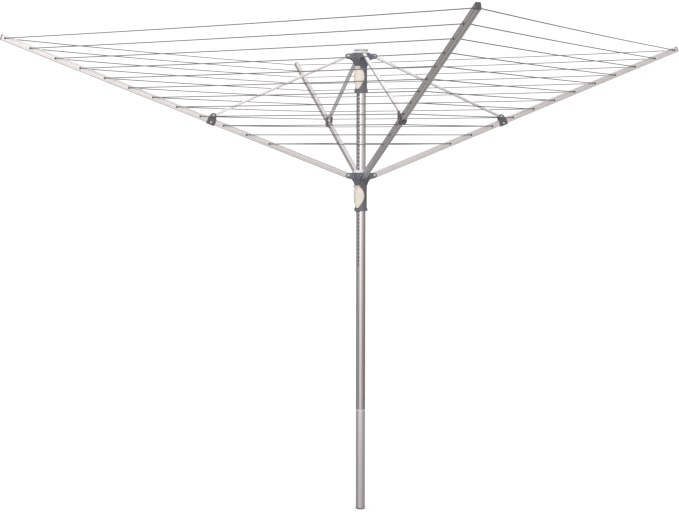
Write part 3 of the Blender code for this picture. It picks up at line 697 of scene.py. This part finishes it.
def outline_angle(share):
    """The lever's half angle in radians, on a smooth curve through its outline's points."""
    points = LEVER_OUTLINE
    for i in range(len(points) - 1):
        if share <= points[i + 1][0] or i == len(points) - 2:
            break
    (s0, a0), (s1, a1) = points[max(i - 1, 0)], points[i]
    (s2, a2), (s3, a3) = points[i + 1], points[min(i + 2, len(points) - 1)]
    span = s2 - s1
    t = (share - s1) / span
    slope1 = (a2 - a0) / (s2 - s0) * span
    slope2 = (a3 - a1) / (s3 - s1) * span
    value = (2 * t**3 - 3 * t**2 + 1) * a1 + (t**3 - 2 * t**2 + t) * slope1
    value += (3 * t**2 - 2 * t**3) * a2 + (t**3 - t**2) * slope2
    return math.radians(value)


def lever_thickness(share, across, half):
    """A crowned face with a fine raised rim, a rounded edge and a thumb dimple near its top."""
    swell = math.sin(math.pi * (0.12 + 0.80 * share)) ** 0.6
    thickness = LEVER_EDGE_THICKNESS + LEVER_CROWN * (1 - across**2) * swell
    height = (LEVER_TOP - LEVER_BOTTOM) * min(share, 1 - share)
    inset = min((1 - abs(across)) * half * LEVER_INNER_RADIUS, height)
    thickness += BEAD_HEIGHT * math.exp(-(((inset - BEAD_INSET) / BEAD_WIDTH) ** 2))
    edge = 1.3 * MM
    if inset < edge:
        thickness -= edge - math.sqrt(edge**2 - (edge - inset) ** 2)
    side = across * half * (LEVER_INNER_RADIUS + 3 * MM)
    drop = share * (LEVER_TOP - LEVER_BOTTOM)
    from_dimple = math.hypot(side - DIMPLE_SIDE, drop - DIMPLE_DROP)
    thickness -= DIMPLE_DEPTH * max(0.0, 1 - (from_dimple / DIMPLE_RADIUS) ** 2)
    thickness += BEAD_HEIGHT * math.exp(-(((from_dimple - DIMPLE_RADIUS - BEAD_WIDTH) / BEAD_WIDTH) ** 2))
    return thickness


def lever_shape():
    """A crowned shell on the hub's round side, with one wide knuckle for its pin at the top."""
    rows, columns = 84, 44
    bm = bmesh.new()
    grids = ([], [])
    for i in range(rows + 1):
        share = 0.5 - 0.5 * math.cos(math.pi * (0.12 + 0.76 * i / rows)) / math.cos(math.pi * 0.12)
        half = outline_angle(share)
        height = LEVER_TOP + (LEVER_BOTTOM - LEVER_TOP) * share
        for grid in grids:
            grid.append([])
        for j in range(columns + 1):
            across = math.sin(math.pi / 2 * (2 * j / columns - 1))
            angle = half * across
            radii = (LEVER_INNER_RADIUS, LEVER_INNER_RADIUS + lever_thickness(share, across, half))
            for grid, radius in zip(grids, radii):
                grid[-1].append(bm.verts.new((radius * math.cos(angle), radius * math.sin(angle), height)))
    inner, outer = grids
    for i in range(rows):
        for grid in grids:
            for j in range(columns):
                bm.faces.new((grid[i][j], grid[i + 1][j], grid[i + 1][j + 1], grid[i][j + 1]))
        for j in (0, columns):
            bm.faces.new((inner[i][j], inner[i + 1][j], outer[i + 1][j], outer[i][j]))
    for i in (0, rows):
        for j in range(columns):
            bm.faces.new((inner[i][j], inner[i][j + 1], outer[i][j + 1], outer[i][j]))
    shell = finished("shell", bm, 40)
    knuckle = arc((LEVER_PIN_AT, LEVER_PIN_Z), KNUCKLE_RADIUS, 0, 180, 20)
    knuckle += [(LEVER_INNER_RADIUS, LEVER_TOP - 4 * MM), (LEVER_WEB_OUTSIDE, LEVER_TOP - 4 * MM)]
    knuckle += [(LEVER_WEB_OUTSIDE, LEVER_TOP)]
    solid = combine([shell, prism(knuckle, -KNUCKLE_HALF, KNUCKLE_HALF, None, 0.5 * MM)], "UNION")
    hole = cross_rod(LEVER_HOLE_RADIUS, 15 * MM, LEVER_PIN_AT, LEVER_PIN_Z)
    return combine([solid, hole], "DIFFERENCE")


def pin_shape(half_grip, radius=PIN_RADIUS, head_radius=4 * MM, head_height=1.2 * MM):
    """A pin along y with low domed heads, each with a shallow peened dimple."""
    end = half_grip + head_height
    half = [
        (0, end - 0.35 * MM),
        (0.28 * head_radius, end - 0.3 * MM),
        (0.42 * head_radius, end, 0.3 * MM),
        (0.7 * head_radius, end - 0.1 * MM, 0.6 * MM),
        (head_radius, half_grip + 0.45 * MM, 0.5 * MM),
        (head_radius, half_grip, 0.1 * MM),
        (radius, half_grip),
    ]
    other = [(point[0], -point[1], *point[2:]) for point in reversed(half)]
    turn = Matrix.Rotation(math.pi / 2, 4, "X")
    return turned(rounded(half + other, 0, 3), PIN_ROUND, turn)


def build_hubs():
    facing = about_mast(RACK_AZIMUTH)
    hub, collar, lever = hub_shape(), collar_shape(), lever_shape()
    places = (("upper", UPPER_PIVOT_Z, "strut_top_pin"), ("lower", LOWER_PIVOT_Z, "arm_pin"))
    for name, pivot_z, pins in places:
        up = Matrix.Translation((0, 0, pivot_z))
        body = name + "_hub"
        add(name + "_hub_moulding", hub.copy(), "hub_plastic", body, [name + "_hub"], up)
        # Painted highlight: the collar is the hub's dark top, coloured pale as if light falls on it from
        # above.
        add(name + "_hub_collar", collar.copy(), "cap_plastic", body, (), up)
        lever_name = name + "_lever"
        add(lever_name + "_moulding", lever.copy(), "lever_plastic", lever_name, [lever_name], up @ facing)
        lever_pin = pin_shape(LUG_OUTSIDE + GAP, LEVER_PIN_RADIUS, 2.4 * MM)
        place = up @ facing @ Matrix.Translation((LEVER_PIN_AT, 0, LEVER_PIN_Z))
        add(name + "_hinge_pin", lever_pin, "pin_steel", body, [name + "_lever_pin"], place)
        for number, azimuth in enumerate(ARM_AZIMUTHS, 1):
            place = up @ about_mast(azimuth) @ Matrix.Translation((PIVOT_RADIUS, 0, 0))
            pin = pin_shape(EAR_INSIDE + EAR_THICKNESS + GAP)
            add(f"{name}_clevis_pin_{number}", pin, "pin_steel", body, [f"{pins}_{number}"], place)


# Arms, struts and their fittings


def hole_place(number):
    """Distance along the arm from its pivot to a line hole, with hole 0 the outermost."""
    return (OUTER_HOLE_RADIUS - number * HOLE_RADIAL_PITCH - PIVOT_RADIUS) / ARM_COS


def mirrored(quarter):
    """A whole section from its quarter, which runs from its lowest point on z < 0 to y > 0, z = 0."""
    half = quarter + [(y, -z, *rest) for y, z, *rest in reversed(quarter)]
    return half + [(-y, z, *rest) for y, z, *rest in reversed(half)]


def arm_shape():
    """An extrusion with a keyway above and below, and two fine grooves down each side."""
    side, top = ARM_WIDTH / 2, ARM_HEIGHT / 2
    key_width, key_depth = 1.8 * MM, 2.6 * MM
    groove_low, groove_high, groove_depth = -6.2 * MM, -3.8 * MM, 1.1 * MM
    quarter = [
        (key_width, -top + key_depth, 0.3 * MM),
        (key_width, -top, 0.4 * MM),
        (side, -top, 1.5 * MM),
        (side, groove_low, 0.15 * MM),
        (side - groove_depth, groove_low, 0.1 * MM),
        (side - groove_depth, groove_high, 0.1 * MM),
        (side, groove_high, 0.15 * MM),
    ]
    inner_side, inner_top = side - ARM_WALL, top - ARM_WALL
    inner_key = key_width + 1.2 * MM
    hollow = [
        (inner_key, -top + key_depth + 1.2 * MM),
        (inner_key, -inner_top),
        (inner_side, -inner_top, 0.5 * MM),
    ]
    end = hole_place(0) + ARM_PAST_HOLE
    solid = prism(rounded(mirrored(quarter), 0, 3), ARM_INNER_END, end, ALONG_X)
    inside = prism(rounded(mirrored(hollow), 0, 2), ARM_INNER_END - 1 * MM, end + 1 * MM, ALONG_X)
    holes = [cross_rod(LINE_HOLE_RADIUS, ARM_WIDTH, hole_place(n), 0) for n in range(LINE_HOLE_COUNT)]
    holes.append(cross_rod(PIN_HOLE_RADIUS, ARM_WIDTH, 0, 0))
    holes.append(cross_rod(RIVET_HOLE_RADIUS, ARM_WIDTH, BRACKET_PIVOT_X, RIVET_Z))
    return combine([solid, inside, joined(holes)], "DIFFERENCE")


def eyelets_shape():
    """Flared plastic eyelets on both sides of every line hole."""
    profile = (
        (2.1 * MM, -2.5 * MM),
        (2.1 * MM, -0.6 * MM, 1.0 * MM),
        (2.7 * MM, 0.6 * MM, 0.5 * MM),
        (3.5 * MM, 0.7 * MM, 0.5 * MM),
        (3.5 * MM, -0.05 * MM),
        (2.6 * MM, -0.05 * MM),
        (2.6 * MM, -2.5 * MM),
    )
    rings = []
    for number in range(LINE_HOLE_COUNT):
        for side in (-1, 1):
            out = Matrix.Translation((hole_place(number), side * ARM_WIDTH / 2, 0))
            rings.append(turned(rounded(profile), 24, out @ Matrix.Rotation(-side * math.pi / 2, 4, "X")))
    return joined(rings)


def end_cap_shape():
    """A cap with rounded rims and two moulded dimples, and a spigot inside the arm."""
    start = hole_place(0) + ARM_PAST_HOLE + GAP
    side, top = ARM_WIDTH / 2 + GAP, ARM_HEIGHT / 2
    corners = ((-1, -1), (1, -1), (1, 1), (-1, 1))
    face = rounded([(side * y, top * z) for y, z in corners], 3 * MM, 6)
    inside, under = ARM_WIDTH / 2 - ARM_WALL - GAP, ARM_HEIGHT / 2 - ARM_WALL - GAP
    spigot = [(inside * y, under * z) for y, z in corners]
    flange = prism(face, start, start + CAP_LENGTH, ALONG_X, 1.4 * MM)
    notch_half, notch_top, notch_bottom = 3.4 * MM, -4 * MM, -under - 1 * MM
    notch = [(notch_half, notch_bottom), (notch_half, notch_top)]
    notch += [(-notch_half, notch_top), (-notch_half, notch_bottom)]
    solid = combine([flange, prism(spigot, start - 6 * MM, start + 1 * MM, ALONG_X)], "UNION")
    cuts = []
    for up in (-1, 1):
        keyway = prism([(y, up * z) for y, z in notch], start - 8 * MM, start - 0.5 * MM, ALONG_X)
        centre = Matrix.Translation((start + CAP_LENGTH + 0.9 * MM, 0, up * 4.2 * MM))
        dimple = turned(rounded(((0, -2.4 * MM), (1.9 * MM, 0, 0.8 * MM), (0, 2.4 * MM))), 24)
        cuts += [keyway, moved(dimple, centre @ Matrix.Rotation(math.pi / 2, 4, "Y"))]
    return combine([solid, joined(cuts)], "DIFFERENCE")


def bracket_shape():
    """Two cheeks joined under the arm, with a ringed eye above it for the strut's pin."""
    x, eye_z = BRACKET_PIVOT_X, BRACKET_PIVOT_Z
    half = BRACKET_LENGTH / 2
    under = -ARM_HEIGHT / 2 - GAP
    bottom = under - BRACKET_CHEEK
    inside = ARM_WIDTH / 2 + GAP
    corner = 2.5 * MM
    outline = [(x - half, bottom, corner), (x + half, bottom, corner), (x + half, BRACKET_SHOULDER, corner)]
    outline += arc((x, eye_z), BRACKET_EYE_RADIUS, 5, 175, 24)
    outline += [(x - half, BRACKET_SHOULDER, corner)]
    parts = [prism(rounded(outline, 0, 5), -inside - BRACKET_CHEEK, inside + BRACKET_CHEEK, None, 0.8 * MM)]
    face = inside + BRACKET_CHEEK
    for z, inner, outer in ((eye_z, 4.7 * MM, 7.4 * MM), (RIVET_Z, 3.9 * MM, 5.2 * MM)):
        ring = rounded(
            (
                (inner, face - 1 * MM),
                (inner, face + 0.9 * MM, 0.3 * MM),
                (outer, face + 0.9 * MM, 0.6 * MM),
                (outer + 0.3 * MM, face - 1 * MM),
            ),
            0,
            3,
        )
        for side in (-1, 1):
            place = Matrix.Translation((x, 0, z)) @ Matrix.Rotation(-side * math.pi / 2, 4, "X")
            parts.append(turned(ring, 40, place))
    solid = combine(parts, "UNION")
    left, right, above = x - half - 5 * MM, x + half + 5 * MM, 50 * MM
    slot = ((left, under), (right, under), (right, above), (left, above))
    holes = [cross_rod(PIN_HOLE_RADIUS, ARM_WIDTH, x, eye_z)]
    holes.append(cross_rod(RIVET_HOLE_RADIUS, ARM_WIDTH, x, RIVET_Z))
    return combine([solid, prism(slot, -inside, inside), joined(holes)], "DIFFERENCE")


def strut_shape():
    """A flat bar with an eye at each end, from its upper pin outwards along x."""
    half = STRUT_THICKNESS / 2
    neck = math.degrees(math.asin(half / STRUT_EYE_RADIUS))
    inner_eye = arc((0, 0), STRUT_EYE_RADIUS, neck + 8, 352 - neck, 36)
    outer_eye = arc((STRUT_LENGTH, 0), STRUT_EYE_RADIUS, -172 + neck, 172 - neck, 36)
    reach = STRUT_EYE_RADIUS + 5 * MM
    outline = [(reach, half), *inner_eye, (reach, -half), (STRUT_LENGTH - reach, -half)]
    outline += [*outer_eye, (STRUT_LENGTH - reach, half)]
    bar = prism(outline, -STRUT_WIDTH / 2, STRUT_WIDTH / 2, None, 0.9 * MM)
    holes = [cross_rod(PIN_HOLE_RADIUS, STRUT_WIDTH, x, 0) for x in (0, STRUT_LENGTH)]
    return combine([bar, joined(holes)], "DIFFERENCE")


def arm_matrix(azimuth):
    """From an arm's own frame to the world."""
    pivot = Matrix.Translation((PIVOT_RADIUS, 0, LOWER_PIVOT_Z))
    return about_mast(azimuth) @ pivot @ Matrix.Rotation(-ARM_ELEVATION, 4, "Y")


def build_canopy():
    arm, cap, bracket = arm_shape(), end_cap_shape(), bracket_shape()
    eyelets, strut = eyelets_shape(), strut_shape()
    half_grip = ARM_WIDTH / 2 + GAP + BRACKET_CHEEK + GAP
    for number, azimuth in enumerate(ARM_AZIMUTHS, 1):
        body = f"arm_{number}"
        place = arm_matrix(azimuth)
        add(f"arm_tube_{number}", arm.copy(), "arm_aluminium", body, [f"arm_{number}"], place)
        add(f"arm_eyelets_{number}", eyelets.copy(), "end_cap_plastic", body, (), place)
        add(f"arm_cap_{number}", cap.copy(), "end_cap_plastic", body, [f"end_cap_{number}"], place)
        add(f"bracket_shell_{number}", bracket.copy(), "bracket_plastic", body, [f"bracket_{number}"], place)
        at_rivet = place @ Matrix.Translation((BRACKET_PIVOT_X, 0, RIVET_Z))
        rivet = pin_shape(half_grip, RIVET_RADIUS, 3.4 * MM)
        add(f"rivet_{number}", rivet, "pin_steel", body, [f"bracket_rivet_{number}"], at_rivet)
        at_eye = place @ Matrix.Translation((BRACKET_PIVOT_X, 0, BRACKET_PIVOT_Z))
        foot_pin = pin_shape(half_grip)
        add(f"foot_pin_{number}", foot_pin, "pin_steel", body, [f"strut_foot_pin_{number}"], at_eye)
        hang = about_mast(azimuth) @ Matrix.Translation((PIVOT_RADIUS, 0, UPPER_PIVOT_Z))
        at_strut = hang @ Matrix.Rotation(STRUT_ANGLE, 4, "Y")
        strut_name = f"strut_{number}"
        add(f"strut_bar_{number}", strut.copy(), "strut_aluminium", strut_name, [strut_name], at_strut)


# Drying line


def add_tube(bm, layer, points, radius=LINE_RADIUS, sides=10):
    """A closed round tube along points, with each vertex's direction and distance for its material."""
    points = [Vector(p) for p in points]
    rings, along = [], 0.0
    direction = (points[1] - points[0]).normalized()
    up = Vector((0, 0, 1)) if abs(direction.z) < 0.9 else Vector((1, 0, 0))
    for i, point in enumerate(points):
        before = (point - points[i - 1]).normalized() if i else direction
        after = (points[i + 1] - point).normalized() if i < len(points) - 1 else before
        mitre = (before + after).normalized()
        stretch = 1 / max(0.3, mitre.dot(after))
        across = mitre.cross(up).normalized()
        upright = across.cross(mitre).normalized()
        along += (point - points[i - 1]).length if i else 0.0
        ring = []
        for k in range(sides):
            a = 2 * math.pi * k / sides
            offset = across * (radius * stretch * math.cos(a)) + upright * (radius * math.sin(a))
            vertex = bm.verts.new(point + offset)
            vertex[layer] = (math.cos(a), math.sin(a), along)
            ring.append(vertex)
        rings.append(ring)
    for first, second in zip(rings, rings[1:]):
        for k in range(sides):
            m = (k + 1) % sides
            bm.faces.new((first[k], first[m], second[m], second[k]))
    bm.faces.new(rings[0])
    bm.faces.new(rings[-1])


def new_line():
    bm = bmesh.new()
    return bm, bm.verts.layers.float_vector.new("sheath")


def half_span(azimuth, side, number):
    """The line from an arm's wall to the middle of its square's side, sagging slightly."""
    out = about_mast(azimuth).to_3x3() @ Vector((1, 0, 0))
    across = Vector((0, 0, 1)).cross(out) * side
    radius = OUTER_HOLE_RADIUS - number * HOLE_RADIAL_PITCH
    wall = ARM_WIDTH / 2
    height = LOWER_PIVOT_Z + (radius - PIVOT_RADIUS) * ARM_SIN / ARM_COS
    start = out * radius + across * wall + Vector((0, 0, height))
    run = (across - out) * ((radius - wall) / 2)
    sag = OUTER_SAG * (radius / OUTER_HOLE_RADIUS) ** 2
    points = []
    for i in range(7):
        t = i / 6
        points.append(start + run * t - Vector((0, 0, sag * t * (2 - t))))
    return points


def build_line():
    per_band = LINE_HOLE_COUNT // LINE_BANDS
    for arm, azimuth in enumerate(ARM_AZIMUTHS, 1):
        for side in (-1, 1):
            for band in range(LINE_BANDS):
                numbers = range(band * per_band, (band + 1) * per_band)
                bm, layer = new_line()
                for number in numbers:
                    add_tube(bm, layer, half_span(azimuth, side, number))
                name = f"line_{arm}{'a' if side < 0 else 'b'}_{band + 1}"
                piece = add(name, finished(name, bm, 50), "line_cord", f"arm_{arm}")
                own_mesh(piece)
        bm, layer = new_line()
        wall = ARM_WIDTH / 2
        for number in range(LINE_HOLE_COUNT):
            x = hole_place(number)
            if arm > 1:
                add_tube(bm, layer, [(x, -wall, 0), (x, wall, 0)])
                continue
            add_tube(bm, layer, [(x, LINE_RUN_OFFSET, 0), (x, wall, 0)])
            add_tube(bm, layer, [(x, -LINE_RUN_OFFSET, 0), (x, -wall, 0)])
            if number:
                further = hole_place(number - 1)
                add_tube(bm, layer, [(x, -LINE_RUN_OFFSET, 0), (further, LINE_RUN_OFFSET, 0)])
        add(
            f"line_in_arm_{arm}",
            finished("line_in_arm", bm, 50),
            "line_cord",
            f"arm_{arm}",
            ["drying_line"] if arm == 1 else (),
            arm_matrix(azimuth),
        )


# Studio


def add_area_light(name, place, target, size, power, colour=(1, 1, 1)):
    light = bpy.data.lights.new(name, "AREA")
    light.shape = "RECTANGLE"
    light.size, light.size_y = size
    light.energy = power
    light.color = colour
    obj = bpy.data.objects.new(name, light)
    bpy.context.scene.collection.objects.link(obj)
    obj.location = place
    obj.rotation_euler = (Vector(target) - Vector(place)).to_track_quat("-Z", "Y").to_euler()


def add_ramp(tree, factor, stops):
    """Brightness around the horizon by compass angle in degrees, with a share of warm tint."""
    ramp = tree.nodes.new("ShaderNodeValToRGB")
    ramp.color_ramp.interpolation = "EASE"
    elements = ramp.color_ramp.elements
    elements.remove(elements[-1])
    for i, (azimuth, level, warmth) in enumerate(sorted(stops)):
        element = elements.new(azimuth / 360) if i else elements[0]
        element.position = azimuth / 360
        element.color = (level, level * (1 - 0.14 * warmth), level * (1 - 0.13 * warmth), 1)
    tree.links.new(factor, ramp.inputs["Fac"])
    return ramp.outputs["Color"]


def build_world():
    """White for the camera. What lights and reflects in the object is a studio with one broad soft
    window in front, a little to its left, and darker flags at both sides."""
    world = bpy.data.worlds.new("studio")
    bpy.context.scene.world = world
    world.use_nodes = True
    tree = world.node_tree
    tree.nodes.clear()
    place = tree.nodes.new("ShaderNodeTexCoord")
    parts = tree.nodes.new("ShaderNodeSeparateXYZ")
    tree.links.new(place.outputs["Generated"], parts.inputs["Vector"])
    turn = tree.nodes.new("ShaderNodeMath")
    turn.operation = "ARCTAN2"
    tree.links.new(parts.outputs["Y"], turn.inputs[0])
    tree.links.new(parts.outputs["X"], turn.inputs[1])
    whole = tree.nodes.new("ShaderNodeMath")
    whole.operation = "WRAP"
    whole.inputs[1].default_value = 2 * math.pi
    whole.inputs[2].default_value = 0
    tree.links.new(turn.outputs["Value"], whole.inputs[0])
    share = ranged(tree, whole.outputs["Value"], 0, 1, 0, 2 * math.pi)
    high = add_ramp(tree, share, HIGH_STOPS)
    low = add_ramp(tree, share, LOW_STOPS)
    level = blended(tree, ranged(tree, parts.outputs["Z"], 0, 1, -0.22, 0.04), low, high)
    level = blended(tree, ranged(tree, parts.outputs["Z"], 0, 1, 0.25, 0.62), level, (1.15, 1.15, 1.15))
    level = blended(tree, ranged(tree, parts.outputs["Z"], 1, 0, -0.9, -0.4), level, (0.55, 0.55, 0.55))
    studio = tree.nodes.new("ShaderNodeBackground")
    tree.links.new(level, studio.inputs["Color"])
    studio.inputs["Strength"].default_value = 1.0
    backdrop = tree.nodes.new("ShaderNodeBackground")
    backdrop.inputs["Color"].default_value = (1, 1, 1, 1)
    backdrop.inputs["Strength"].default_value = 1.1
    seen = tree.nodes.new("ShaderNodeLightPath")
    choice = tree.nodes.new("ShaderNodeMixShader")
    output = tree.nodes.new("ShaderNodeOutputWorld")
    tree.links.new(seen.outputs["Is Camera Ray"], choice.inputs["Fac"])
    tree.links.new(studio.outputs["Background"], choice.inputs[1])
    tree.links.new(backdrop.outputs["Background"], choice.inputs[2])
    tree.links.new(choice.outputs["Shader"], output.inputs["Surface"])


# The studio's walls by compass angle: brightness and warmth, above and below the horizon
HIGH_STOPS = (
    (0, 0.34, 1.0),
    (30, 0.20, 0.8),
    (55, 0.25, 0.3),
    (80, 0.55, 0.2),
    (105, 0.66, 0.3),
    (124, 0.14, 0.3),
    (140, 0.10, 0.3),
    (174, 0.14, 0.3),
    (194, 0.80, 0.3),
    (214, 1.20, 0.1),
    (238, 1.85, 0.1),
    (266, 1.75, 0.1),
    (290, 1.00, 0.5),
    (315, 0.55, 0.8),
    (340, 0.44, 1.0),
)
LOW_STOPS = (
    (0, 0.14, 1.0),
    (30, 0.10, 0.8),
    (70, 0.30, 0.3),
    (105, 0.42, 0.3),
    (124, 0.14, 0.3),
    (140, 0.10, 0.3),
    (175, 0.12, 0.3),
    (198, 0.25, 0.3),
    (218, 0.75, 0.1),
    (238, 0.80, 0.1),
    (256, 0.62, 0.2),
    (278, 0.44, 0.5),
    (302, 0.34, 0.8),
    (330, 0.26, 1.0),
)


def build_floor():
    bm = bmesh.new()
    angles = [2 * math.pi * i / ROUND for i in range(ROUND)]
    rim = [(FLOOR_RADIUS * math.cos(a), FLOOR_RADIUS * math.sin(a), -FLOOR_DROP) for a in angles]
    bm.faces.new([bm.verts.new(point) for point in rim])
    mesh = bpy.data.meshes.new("floor")
    bm.to_mesh(mesh)
    bm.free()
    floor = bpy.data.objects.new("floor", mesh)
    bpy.context.scene.collection.objects.link(floor)
    material, tree, shader = new_material("floor", (0.9, 0.9, 0.9), 0.8)
    shader.inputs["Emission Color"].default_value = (1, 1, 1, 1)
    shader.inputs["Emission Strength"].default_value = 0.12
    mesh.materials.append(material)
    floor.visible_glossy = False
    floor.visible_diffuse = False


def build_camera():
    camera = bpy.data.cameras.new("camera")
    camera.sensor_width = 36
    camera.lens = CAMERA_LENS
    obj = bpy.data.objects.new("camera", camera)
    bpy.context.scene.collection.objects.link(obj)
    obj.location = CAMERA_PLACE
    obj.rotation_euler = (math.pi / 2 - CAMERA_TILT, 0, CAMERA_HEADING)
    bpy.context.scene.camera = obj


def finish_hidden_nodes():
    """CAD nodes that stay as they are, inside the mast and the hubs, with better materials."""
    for node, finish in (
        ("mast_spindle", "pin_steel"),
        ("spindle_sleeve", "bush_plastic"),
        ("upper_lock_pawl", "pin_steel"),
        ("lower_lock_pawl", "pin_steel"),
    ):
        for material_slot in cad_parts[node].material_slots:
            material_slot.material = MATERIALS[finish]


build_mast()
build_hubs()
build_canopy()
build_line()
finish_hidden_nodes()
build_world()
build_floor()
build_camera()
add_area_light("key", (-3.2, -3.6, 4.2), LIGHT_TARGET, (2.4, 2.4), 30)
add_area_light("fill", (3.6, -2.2, 2.2), LIGHT_TARGET, (2.0, 2.6), 6)
bpy.context.scene.view_settings.view_transform = "Standard"
